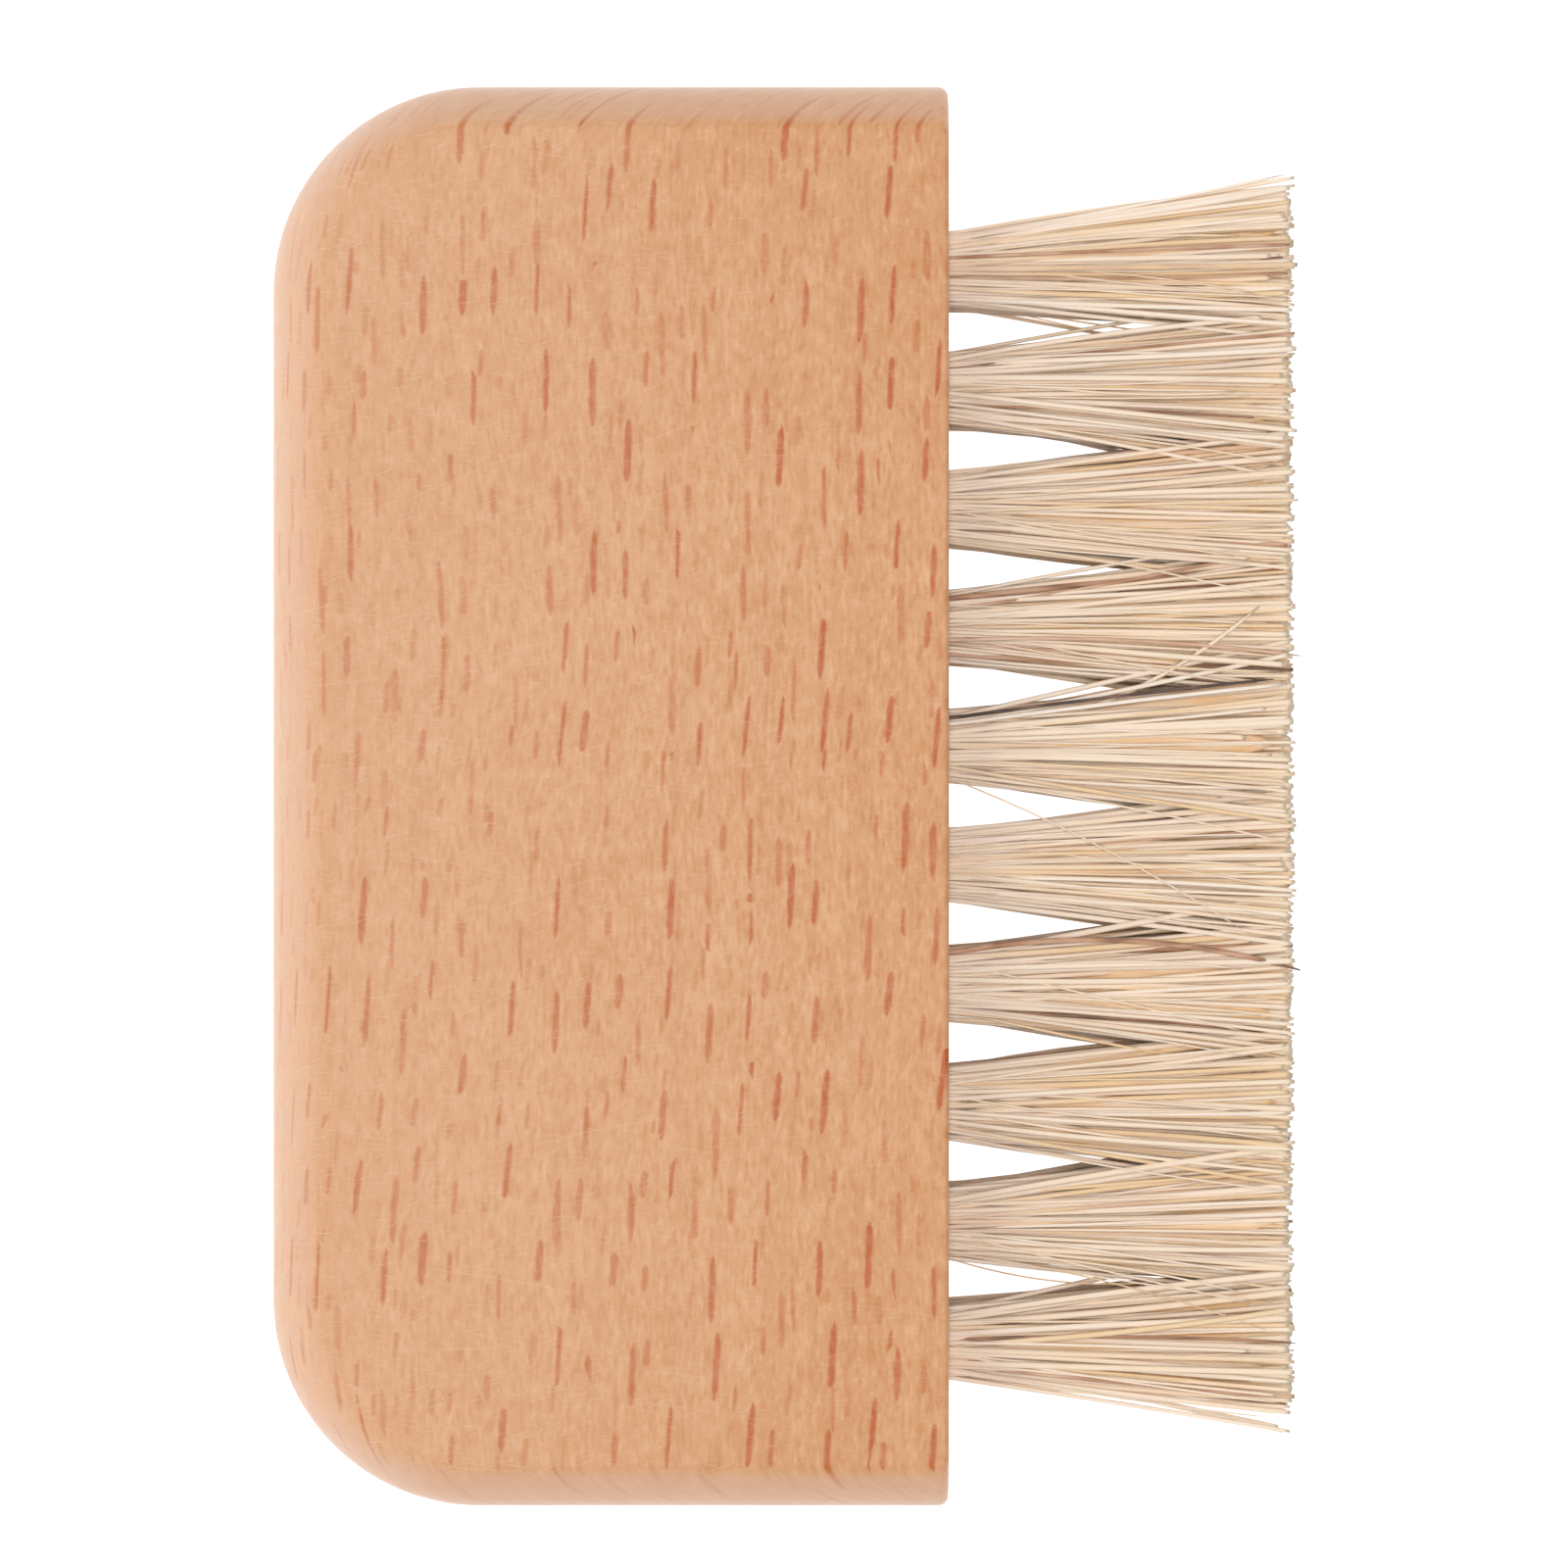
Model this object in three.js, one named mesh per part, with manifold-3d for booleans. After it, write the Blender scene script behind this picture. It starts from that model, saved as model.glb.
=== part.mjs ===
// A hand brush for beards: one solid beech block, drilled on one long narrow
// face, with two rows of natural bristle tufts. Each tuft is a bundle of
// bristles folded in half over a short flat wire, the anchor, which is driven
// across the bottom of the hole and holds the fold there.
//
// Millimetres, +Z up. The brush lies on a broad face: its length runs along Y,
// the bristles point along +X, and the origin is the middle of its footprint.

import * as THREE from "three";
import { mergeVertices } from "three/addons/utils/BufferGeometryUtils.js";
import Module from "manifold-3d";

const wasm = await Module();
wasm.setup();

// Driving dimensions

const BLOCK_LENGTH = 90;
const BLOCK_WIDTH = 42.8;
const BLOCK_THICKNESS = 18;
const BRISTLE_LENGTH = 21.6; // free length, from the block's face to the trimmed tips

const SPINE_CORNER_RADIUS = 13.1; // the two round corners away from the bristles
const FACE_CORNER_RADIUS = 0.6; // the two nearly sharp corners beside the bristles
const ROUNDING_DEPTH = 4.4; // how far down each side the rounded edge reaches
const END_ROUNDING = 2.7; // how far in the rounded edge reaches on the two ends
const SPINE_ROUNDING = 3.7; // the same, along the spine
const EDGE_BREAK = 0.3; // bevel where the broad faces meet the bristle face

const TUFTS_PER_ROW = 10;
const TUFT_PITCH = 7.58;
const ROW_PITCH = 7.2;
const FIELD_SHIFT = -0.6; // the drilled field sits slightly towards one end

const HOLE_RADIUS = 2.4;
const HOLE_DEPTH = 11;
const DRILL_POINT_HEIGHT = 1.4;

const CLEARANCE = 0.3; // left between neighbouring pieces
const TUFT_TIP_HALF_Y = 3.6;
const TUFT_TIP_HALF_Z = 3.4;
const ROUND = 2; // exponent of a circle or an ellipse
const TIP_SQUARENESS = 3.5; // a higher exponent, for the squarer outline at the tips
const FOLD_ROUNDING = 0.5; // at the very bottom of a tuft

const ANCHOR_THICKNESS = 0.35;
const ANCHOR_HEIGHT = 1.8;
const ANCHOR_LENGTH = 5.4; // longer than the hole is wide, so both ends bite into the wood
const ANCHOR_DRAFT = 0.15; // the leading corners are cut back, to enter the hole
const FOLD_THICKNESS = 1.3; // of the bristles that pass under the anchor

// Places worked out from them

const SPINE_X = -(BLOCK_WIDTH + BRISTLE_LENGTH) / 2;
const FACE_X = SPINE_X + BLOCK_WIDTH;
const MIDDLE_Z = BLOCK_THICKNESS / 2;
const TUFT_RADIUS = HOLE_RADIUS - CLEARANCE;
const TUFT_BOTTOM = -(HOLE_DEPTH - CLEARANCE);
const ANCHOR_BOTTOM = TUFT_BOTTOM + FOLD_THICKNESS;
const HALF_TURN = Math.PI;
const QUARTER_TURN = Math.PI / 2;

// Fineness

const SPINE_CORNER_STEPS = 14;
const FACE_CORNER_STEPS = 2;
const ROUNDING_STEPS = 6;
const HOLE_SIDES = 24;
const TUFT_SIDES = 16;
const FAN_STEPS = 3;

// Materials

const beech = new THREE.MeshStandardMaterial({ color: 0xdda77e, roughness: 0.62, metalness: 0 });
const bristle = new THREE.MeshStandardMaterial({ color: 0xdcc1a5, roughness: 0.55, metalness: 0 });
const wire = new THREE.MeshStandardMaterial({ color: 0xb9bcc0, roughness: 0.35, metalness: 1 });

// Geometry helpers

function arcPoints(centreX, centreY, radiusX, radiusY, startAngle, endAngle, steps) {
  const curve = new THREE.EllipseCurve(centreX, centreY, radiusX, radiusY, startAngle, endAngle);
  return curve.getPoints(steps);
}

// Skins a stack of convex rings, each a closed list of Vector3 with the same
// number of points, counter-clockwise when seen from beyond the last ring.
function loft(rings) {
  const count = rings[0].length;
  const last = rings.length - 1;
  const positions = rings.flat().flatMap((point) => point.toArray());
  const index = [];
  for (let ring = 0; ring < last; ring += 1) {
    for (let step = 0; step < count; step += 1) {
      const next = (step + 1) % count;
      const low = ring * count;
      const high = low + count;
      index.push(low + step, low + next, high + next);
      index.push(low + step, high + next, high + step);
    }
  }
  for (let step = 1; step < count - 1; step += 1) {
    index.push(0, step + 1, step);
    index.push(last * count, last * count + step, last * count + step + 1);
  }
  const geometry = new THREE.BufferGeometry();
  geometry.setAttribute("position", new THREE.Float32BufferAttribute(positions, 3));
  geometry.setIndex(index);
  return geometry;
}

// Turns a closed geometry into a solid that can be cut. Triangles that a pole
// of a lathe shape folds to nothing are dropped.
function solidFrom(geometry) {
  const bare = geometry.clone();
  bare.deleteAttribute("normal");
  bare.deleteAttribute("uv");
  const merged = mergeVertices(bare, 1e-4);
  const corners = merged.index.array;
  const kept = [];
  for (let i = 0; i < corners.length; i += 3) {
    const [a, b, c] = corners.slice(i, i + 3);
    if (a !== b && b !== c && c !== a) kept.push(a, b, c);
  }
  const vertProperties = new Float32Array(merged.attributes.position.array);
  const mesh = new wasm.Mesh({ numProp: 3, vertProperties, triVerts: new Uint32Array(kept) });
  return new wasm.Manifold(mesh);
}

function geometryFrom(solid) {
  const mesh = solid.getMesh();
  const geometry = new THREE.BufferGeometry();
  const positions = new Float32Array(mesh.vertProperties);
  geometry.setAttribute("position", new THREE.BufferAttribute(positions, 3));
  geometry.setIndex(new THREE.BufferAttribute(new Uint32Array(mesh.triVerts), 1));
  geometry.computeVertexNormals();
  return geometry;
}

function piece(name, geometry, material) {
  const mesh = new THREE.Mesh(geometry, material);
  mesh.name = name;
  return mesh;
}

// Where the holes are: the middle of each hole's mouth, and the names that go
// with it. Rows are counted from the face that the brush lies on.

function holePlaces() {
  const places = [];
  for (const [row, side] of [["lower", -1], ["upper", 1]]) {
    for (let i = 0; i < TUFTS_PER_ROW; i += 1) {
      const y = FIELD_SHIFT + (i - (TUFTS_PER_ROW - 1) / 2) * TUFT_PITCH;
      const label = `${row}_${String(i + 1).padStart(2, "0")}`;
      places.push({ label, y, z: MIDDLE_Z + (side * ROW_PITCH) / 2 });
    }
  }
  return places;
}

// Block

// How far in the rounded edge lies at a depth below a broad face: an arc that
// is upright at ROUNDING_DEPTH and meets the face `reach` in from the side.
function roundingInset(depth, reach) {
  const radius = (ROUNDING_DEPTH ** 2 + reach ** 2) / (2 * reach);
  return radius - Math.sqrt(radius ** 2 - (ROUNDING_DEPTH - depth) ** 2);
}

function blockOutline(depth) {
  const end = BLOCK_LENGTH / 2 - roundingInset(depth, END_ROUNDING);
  const spineInset = roundingInset(depth, SPINE_ROUNDING);
  const front = FACE_X - Math.max(0, EDGE_BREAK - depth);
  const centreX = SPINE_X + SPINE_CORNER_RADIUS;
  const centreY = BLOCK_LENGTH / 2 - SPINE_CORNER_RADIUS;
  const radiusX = SPINE_CORNER_RADIUS - spineInset;
  const radiusY = end - centreY;
  const small = FACE_CORNER_RADIUS;
  return [
    ...arcPoints(front - small, end - small, small, small, 0, QUARTER_TURN, FACE_CORNER_STEPS),
    ...arcPoints(centreX, centreY, radiusX, radiusY, QUARTER_TURN, HALF_TURN, SPINE_CORNER_STEPS),
    ...arcPoints(centreX, -centreY, radiusX, radiusY, HALF_TURN, 3 * QUARTER_TURN, SPINE_CORNER_STEPS),
    ...arcPoints(front - small, small - end, small, small, -QUARTER_TURN, 0, FACE_CORNER_STEPS),
  ];
}

function blockRing(depth, z) {
  return blockOutline(depth).map((point) => new THREE.Vector3(point.x, point.y, z));
}

function blankBlock() {
  const depths = [];
  for (let step = 0; step <= ROUNDING_STEPS; step += 1) {
    depths.push(ROUNDING_DEPTH * (1 - Math.cos((step / ROUNDING_STEPS) * QUARTER_TURN)));
  }
  const lowerRings = depths.map((depth) => blockRing(depth, depth));
  const upperRings = depths.map((depth) => blockRing(depth, BLOCK_THICKNESS - depth));
  return loft([...lowerRings, ...upperRings.reverse()]);
}

// A blind hole along -X from its mouth at the origin, with the cone that a
// drill leaves at its bottom.
function drillShape() {
  const beyondMouth = 1;
  const profile = [
    new THREE.Vector2(0, -HOLE_DEPTH - DRILL_POINT_HEIGHT),
    new THREE.Vector2(HOLE_RADIUS, -HOLE_DEPTH),
    new THREE.Vector2(HOLE_RADIUS, beyondMouth),
    new THREE.Vector2(0, beyondMouth),
  ];
  return new THREE.LatheGeometry(profile, HOLE_SIDES).rotateZ(-QUARTER_TURN);
}

// The room that an anchor takes across the bottom of a hole, with clearance.
function anchorRoom(length) {
  const height = ANCHOR_HEIGHT + 2 * CLEARANCE;
  const room = new THREE.BoxGeometry(height, ANCHOR_THICKNESS + 2 * CLEARANCE, length);
  return room.translate(ANCHOR_BOTTOM + ANCHOR_HEIGHT / 2, 0, 0);
}

function makeBlock(places) {
  const hole = solidFrom(drillShape());
  const bite = solidFrom(anchorRoom(ANCHOR_LENGTH + 2 * CLEARANCE));
  const cutter = hole.add(bite);
  let solid = solidFrom(blankBlock());
  for (const { y, z } of places) {
    solid = solid.subtract(cutter.translate([FACE_X, y, z]));
  }
  return piece("block", geometryFrom(solid), beech);
}

// Tufts

// One cross-section of a tuft: round in the hole, and squarer towards the tips,
// where neighbouring tufts press against each other.
function tuftRing({ x, halfY, halfZ, squareness }) {
  const points = [];
  for (let step = 0; step < TUFT_SIDES; step += 1) {
    const angle = (step / TUFT_SIDES) * 2 * Math.PI;
    const across = Math.abs(Math.cos(angle) / halfY) ** squareness;
    const up = Math.abs(Math.sin(angle) / halfZ) ** squareness;
    const reach = (across + up) ** (-1 / squareness);
    points.push(new THREE.Vector3(x, reach * Math.cos(angle), reach * Math.sin(angle)));
  }
  return points;
}

function tuftShape() {
  const foldRadius = TUFT_RADIUS - FOLD_ROUNDING;
  const stations = [
    { x: TUFT_BOTTOM, halfY: foldRadius, halfZ: foldRadius, squareness: ROUND },
    { x: TUFT_BOTTOM + FOLD_ROUNDING, halfY: TUFT_RADIUS, halfZ: TUFT_RADIUS, squareness: ROUND },
    { x: 0, halfY: TUFT_RADIUS, halfZ: TUFT_RADIUS, squareness: ROUND },
  ];
  for (let step = 1; step <= FAN_STEPS; step += 1) {
    const along = step / FAN_STEPS;
    stations.push({
      x: along * BRISTLE_LENGTH,
      halfY: THREE.MathUtils.lerp(TUFT_RADIUS, TUFT_TIP_HALF_Y, along),
      halfZ: THREE.MathUtils.lerp(TUFT_RADIUS, TUFT_TIP_HALF_Z, along),
      squareness: THREE.MathUtils.lerp(ROUND, TIP_SQUARENESS, along),
    });
  }
  return loft(stations.map(tuftRing));
}

function makeTufts(places) {
  const slot = solidFrom(anchorRoom(4 * HOLE_RADIUS));
  const geometry = geometryFrom(solidFrom(tuftShape()).subtract(slot));
  return places.map(({ label, y, z }) => {
    const tuft = piece(`tuft_${label}`, geometry, bristle);
    tuft.position.set(FACE_X, y, z);
    return tuft;
  });
}

// Anchors

// A length of flat wire on edge across the hole, with its leading edge towards
// the bottom of the hole.
function anchorShape() {
  const half = ANCHOR_LENGTH / 2;
  const outline = new THREE.Shape();
  outline.moveTo(ANCHOR_BOTTOM, half - ANCHOR_DRAFT);
  outline.lineTo(ANCHOR_BOTTOM, ANCHOR_DRAFT - half);
  outline.lineTo(ANCHOR_BOTTOM + ANCHOR_DRAFT, -half);
  outline.lineTo(ANCHOR_BOTTOM + ANCHOR_HEIGHT, -half);
  outline.lineTo(ANCHOR_BOTTOM + ANCHOR_HEIGHT, half);
  outline.lineTo(ANCHOR_BOTTOM + ANCHOR_DRAFT, half);
  const plate = new THREE.ExtrudeGeometry(outline, { depth: ANCHOR_THICKNESS, bevelEnabled: false });
  return plate.translate(0, 0, -ANCHOR_THICKNESS / 2).rotateX(QUARTER_TURN);
}

function makeAnchors(places) {
  const geometry = anchorShape();
  return places.map(({ label, y, z }) => {
    const anchor = piece(`anchor_${label}`, geometry, wire);
    anchor.position.set(FACE_X, y, z);
    return anchor;
  });
}

const places = holePlaces();
const brush = new THREE.Group();
brush.add(makeBlock(places), ...makeTufts(places), ...makeAnchors(places));

export default brush;
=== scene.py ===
import math

import bpy
import numpy as np
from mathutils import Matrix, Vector


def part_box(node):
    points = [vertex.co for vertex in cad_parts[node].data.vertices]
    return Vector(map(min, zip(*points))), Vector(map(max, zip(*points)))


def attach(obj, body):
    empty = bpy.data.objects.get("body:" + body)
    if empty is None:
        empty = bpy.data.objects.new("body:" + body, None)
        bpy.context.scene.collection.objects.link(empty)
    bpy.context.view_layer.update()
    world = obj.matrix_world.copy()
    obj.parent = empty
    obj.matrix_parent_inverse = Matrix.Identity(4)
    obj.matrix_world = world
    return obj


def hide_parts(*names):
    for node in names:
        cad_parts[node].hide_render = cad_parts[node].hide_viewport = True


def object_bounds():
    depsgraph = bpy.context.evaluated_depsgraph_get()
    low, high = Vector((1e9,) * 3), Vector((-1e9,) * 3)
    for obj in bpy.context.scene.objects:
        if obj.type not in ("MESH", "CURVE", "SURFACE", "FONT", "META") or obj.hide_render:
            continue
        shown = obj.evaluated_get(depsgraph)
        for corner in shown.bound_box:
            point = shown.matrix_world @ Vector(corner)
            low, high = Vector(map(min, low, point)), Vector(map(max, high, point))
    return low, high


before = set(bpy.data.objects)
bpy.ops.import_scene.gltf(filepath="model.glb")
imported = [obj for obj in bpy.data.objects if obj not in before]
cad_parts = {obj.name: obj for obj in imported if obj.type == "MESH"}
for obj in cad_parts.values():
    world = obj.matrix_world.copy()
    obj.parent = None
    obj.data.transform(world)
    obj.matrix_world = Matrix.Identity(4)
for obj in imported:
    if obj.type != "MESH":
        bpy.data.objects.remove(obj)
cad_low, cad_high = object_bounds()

# A beech beard brush: the block and the bristles are built here at full detail
# around the CAD frame, and the flat-wire anchors in the holes stay CAD parts.
# Lengths are in metres, and MM turns the sizes below into them.

MM = 0.001

# The block, as the CAD frame has it.
block_low, block_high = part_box("block")
FACE_X = block_high.x
SPINE_X = block_low.x
HALF_LENGTH = (block_high.y - block_low.y) / 2
BASE_Z = block_low.z
TOP_Z = block_high.z
FREE_LENGTH = cad_high.x - FACE_X  # of the bristles, from the block's face to their tips

SPINE_CORNER_RADIUS = 13.1 * MM
FACE_CORNER_RADIUS = 0.6 * MM
ROUNDING_DEPTH = 4.4 * MM  # how far down from a broad face its rounded edges reach
END_ROUNDING = 2.7 * MM  # how far in from the ends they reach
SPINE_ROUNDING = 3.7 * MM  # and from the spine
FACE_EDGE_RADIUS = 0.3 * MM  # of the nearly sharp edges round the bristle face
CREASE_SOFTNESS = 0.1 * MM

HOLE_RADIUS = 2.4 * MM
HOLE_DEPTH = 11 * MM
DRILL_POINT_HEIGHT = 1.4 * MM
MOUTH_BEVEL = 0.15 * MM

PER_ROW = 10

# The bristles. A strand is one bristle folded in half around the anchor, so both
# of its ends are tips. A scatter is a standard deviation.
BRISTLE_SPACING = 0.262 * MM
BRISTLE_RADIUS = 0.152 * MM
BRISTLE_SIZES = (0.65, 1.45)  # the thinnest and the thickest, as shares of that radius
STRAND_SCATTER = 0.03 * MM  # of a strand's place in the hole
PACK_RADIUS = 2.27 * MM  # of the bundle in its hole
FLOOR_CLEARANCE = 0.25 * MM  # that the middle lines of the bristles keep

FAN = 1.0  # how much wider a tuft gets towards its tips: 1 is twice as wide
FAN_RANGE = (0.95, 1.03)  # of single tufts, as shares of FAN
LOWER_FAN = 0.84  # the lower row's fan, as a share of the upper row's
SQUARING = 0.6  # how much a tuft's round bundle fills out towards a square at its tips
LEAN_SCATTER = 0.16 * MM  # of a tuft's tips, all together
END_TUFT_LEAN = 0.8 * MM  # how far the last tuft of a row leans out
TIP_SCATTER = 0.55 * MM
BOW_SCATTER = 0.17 * MM
WILD_SHARE = 0.3  # of the bristles on a tuft's outer side, which stray farther
WILD_SCATTER = 1.2 * MM

TRIM_SCATTER = 0.2 * MM
SHORTEST_TRIM = -0.5 * MM
LONGEST_TRIM = 0.3 * MM
BROKEN_SHARE = 0.05
BROKEN_LOSS = (0.4, 3.0)  # millimetres missing from a broken bristle

LOCK_SPACING = 0.7 * MM
LOCK_RADIUS = 0.47 * MM
LOCK_SIZES = (0.85, 1.1)  # the thinnest and the thickest, as shares of that radius
LOCK_SCATTER = 0.07 * MM  # of a lock's place in the hole
LOCK_BEND = 0.12 * MM  # scatter of a lock's tip, and of its bow
LOCK_SHORTFALL = (0.6, 1.3)  # millimetres by which locks end short of the tips
LOCK_PULL = 0.4  # how far bristles lean in to the nearest lock, as a share of the way to it

HONEY_SHARE = 0.14
BROWN_SHARE = 0.018
STRAYS_PER_TUFT = 6
SIDEWAYS_SHARE = 0.4  # of a bristle's sideways normals that is kept, as it lets light through
SEED = 11


def linear(colour):
    """A colour of 0 to 255 values as the linear RGBA that shaders take."""
    def channel(value):
        value /= 255
        return value / 12.92 if value <= 0.04045 else ((value + 0.055) / 1.055) ** 2.4
    return (*[channel(value) for value in colour], 1.0)


# Shader building


class Shader:
    """A material's node tree, with one short call for each kind of node."""

    def __init__(self, name):
        self.material = bpy.data.materials.new(name)
        self.material.use_nodes = True
        self.tree = self.material.node_tree
        self.surface = self.tree.nodes["Principled BSDF"]

    def node(self, kind, inputs=None, output=0, **settings):
        """Adds a node, sets its settings and inputs, and returns one output."""
        made = self.tree.nodes.new(kind)
        for key, value in settings.items():
            setattr(made, key, value)
        for key, value in (inputs or {}).items():
            self.feed(made.inputs[key], value)
        return made.outputs[output]

    def feed(self, socket, value):
        if isinstance(value, bpy.types.NodeSocket):
            self.tree.links.new(value, socket)
        else:
            socket.default_value = value

    def math(self, operation, first, second=0.0, clamp=False):
        return self.node("ShaderNodeMath", {0: first, 1: second}, operation=operation, use_clamp=clamp)

    def vector_math(self, operation, first, second):
        return self.node("ShaderNodeVectorMath", {0: first, 1: second}, operation=operation)

    def parts(self, vector):
        """The X, Y and Z of a vector."""
        made = self.tree.nodes.new("ShaderNodeSeparateXYZ")
        self.feed(made.inputs[0], vector)
        return made.outputs

    def attribute(self, name):
        return self.node("ShaderNodeAttribute", output="Fac", attribute_name=name)

    def object_mm(self):
        """The point in millimetres, in the frame of the brush."""
        point = self.node("ShaderNodeTexCoord", output="Object")
        return self.node("ShaderNodeVectorMath", {0: point, "Scale": 1 / MM}, operation="SCALE")

    def turned(self, vector, rotation):
        return self.node("ShaderNodeMapping", {"Vector": vector, "Rotation": rotation})

    def stretched(self, vector, sizes, shift=(0, 0, 0)):
        """The point counted in cells of the given sizes."""
        scale = tuple(1 / size for size in sizes)
        return self.node("ShaderNodeMapping", {"Vector": vector, "Scale": scale, "Location": shift})

    def noise(self, vector, detail=2.0, roughness=0.5, output="Fac"):
        inputs = {"Vector": vector, "Scale": 1.0, "Detail": detail, "Roughness": roughness}
        return self.node("ShaderNodeTexNoise", inputs, output=output)

    def wander(self, vector, cell, width):
        """A smooth random offset, within the given width, that changes from cell to cell."""
        drift = self.noise(self.stretched(vector, cell), detail=1, output="Color")
        drift = self.vector_math("SUBTRACT", drift, (0.5, 0.5, 0.5))
        return self.vector_math("MULTIPLY", drift, width)

    def ramp(self, value, low, high, to_low=0.0, to_high=1.0):
        """value from low..high to to_low..to_high, eased and clamped."""
        inputs = {"Value": value, "From Min": low, "From Max": high, "To Min": to_low, "To Max": to_high}
        return self.node("ShaderNodeMapRange", inputs, interpolation_type="SMOOTHSTEP")

    def mix(self, amount, first, second):
        made = self.tree.nodes.new("ShaderNodeMix")
        made.data_type = "RGBA"
        self.feed(made.inputs[0], amount)
        self.feed(made.inputs[6], first)
        self.feed(made.inputs[7], second)
        return made.outputs[2]

    def colour_ramp(self, value, stops):
        made = self.tree.nodes.new("ShaderNodeValToRGB")
        self.feed(made.inputs[0], value)
        elements = made.color_ramp.elements
        while len(elements) < len(stops):
            elements.new(0.5)
        for element, (place, colour) in zip(elements, stops):
            element.position = place
            element.color = linear(colour)
        return made.outputs[0]

    def bump(self, height, distance, strength):
        inputs = {"Height": height, "Distance": distance, "Strength": strength}
        return self.node("ShaderNodeBump", inputs)

    def finish(self, **inputs):
        for key, value in inputs.items():
            self.feed(self.surface.inputs[key.replace("_", " ")], value)
        return self.material


# Mesh building


def mesh_object(name, points, faces):
    mesh = bpy.data.meshes.new(name)
    mesh.from_pydata(points, [], faces)
    mesh.update()
    piece = bpy.data.objects.new(name, mesh)
    bpy.context.scene.collection.objects.link(piece)
    return piece


def apply_modifiers(piece):
    """Makes what the modifiers show the piece's own mesh."""
    shown = piece.evaluated_get(bpy.context.evaluated_depsgraph_get())
    mesh = bpy.data.meshes.new_from_object(shown)
    piece.modifiers.clear()
    piece.data = mesh


def skin(rings):
    """Faces that join a stack of closed rings of equal length, with both ends capped."""
    count = len(rings[0])
    faces = []
    for ring in range(len(rings) - 1):
        low = ring * count
        for step in range(count):
            following = (step + 1) % count
            faces.append((low + step, low + following, low + count + following, low + count + step))
    faces.append(tuple(reversed(range(count))))
    faces.append(tuple(range((len(rings) - 1) * count, len(rings) * count)))
    return faces


# The block


def rounded_edge(part, reach):
    """(inset, depth) on a rounded edge of the block, part of the way in.

    At 0 it stands upright, ROUNDING_DEPTH below the broad face. At 1 it meets
    that face in a crease, which is softened, and past 1 it runs along the face.
    """
    radius = (ROUNDING_DEPTH ** 2 + reach ** 2) / (2 * reach)
    inset = part * reach
    arc = ROUNDING_DEPTH - math.sqrt(radius ** 2 - (radius - min(inset, radius)) ** 2)
    depth = (arc + math.hypot(arc, CREASE_SOFTNESS)) / 2
    return inset, min(depth, ROUNDING_DEPTH)


EDGE_STEPS = 18
CREASE_STEPS = 6
CREASE_MARGIN = 0.22  # how far past the crease the last ring lies, as a share of the edge's reach
FACE_CORNER_STEPS = 6
SPINE_CORNER_STEPS = 40


def edge_profile(step):
    """(end, spine, face) pairs of (inset, depth) for one ring of the block's upper half."""
    if step <= EDGE_STEPS:
        part = (step / EDGE_STEPS) ** 2
        fall = 1 - step / EDGE_STEPS
        face = (0.0, FACE_EDGE_RADIUS + (ROUNDING_DEPTH - FACE_EDGE_RADIUS) * fall)
    else:
        along = (step - EDGE_STEPS) / CREASE_STEPS
        part = 1 + CREASE_MARGIN * along
        turn = along * math.pi / 2
        face = (FACE_EDGE_RADIUS * (1 - math.cos(turn)), FACE_EDGE_RADIUS * (1 - math.sin(turn)))
    return rounded_edge(part, END_ROUNDING), rounded_edge(part, SPINE_ROUNDING), face


def block_ring(step):
    """(x, y, depth) round the block for one ring, starting at the +Y end of the bristle face."""
    end, spine, face = edge_profile(step)
    quarter = []
    small = FACE_CORNER_RADIUS
    reach_y = HALF_LENGTH - end[0]
    for i in range(FACE_CORNER_STEPS + 1):
        turn = i / FACE_CORNER_STEPS * math.pi / 2
        blend = math.sin(turn) ** 2
        x = FACE_X - face[0] - small * (1 - math.cos(turn))
        y = reach_y - small * (1 - math.sin(turn))
        quarter.append((x, y, face[1] * (1 - blend) + end[1] * blend))
    centre_x = SPINE_X + SPINE_CORNER_RADIUS
    centre_y = HALF_LENGTH - SPINE_CORNER_RADIUS
    for i in range(SPINE_CORNER_STEPS + 1):
        turn = math.pi / 2 * (1 + i / SPINE_CORNER_STEPS)
        blend = math.cos(turn) ** 2
        x = centre_x + (SPINE_CORNER_RADIUS - spine[0]) * math.cos(turn)
        y = centre_y + (reach_y - centre_y) * math.sin(turn)
        quarter.append((x, y, end[1] * (1 - blend) + spine[1] * blend))
    return quarter + [(x, -y, depth) for x, y, depth in reversed(quarter)]


def block_blank():
    """The block before it is drilled."""
    steps = range(EDGE_STEPS + CREASE_STEPS + 1)
    lower = [[(x, y, BASE_Z + depth) for x, y, depth in block_ring(step)] for step in reversed(steps)]
    upper = [[(x, y, TOP_Z - depth) for x, y, depth in block_ring(step)] for step in steps]
    rings = lower + upper
    return mesh_object("beech_block", [point for ring in rings for point in ring], skin(rings))


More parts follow.
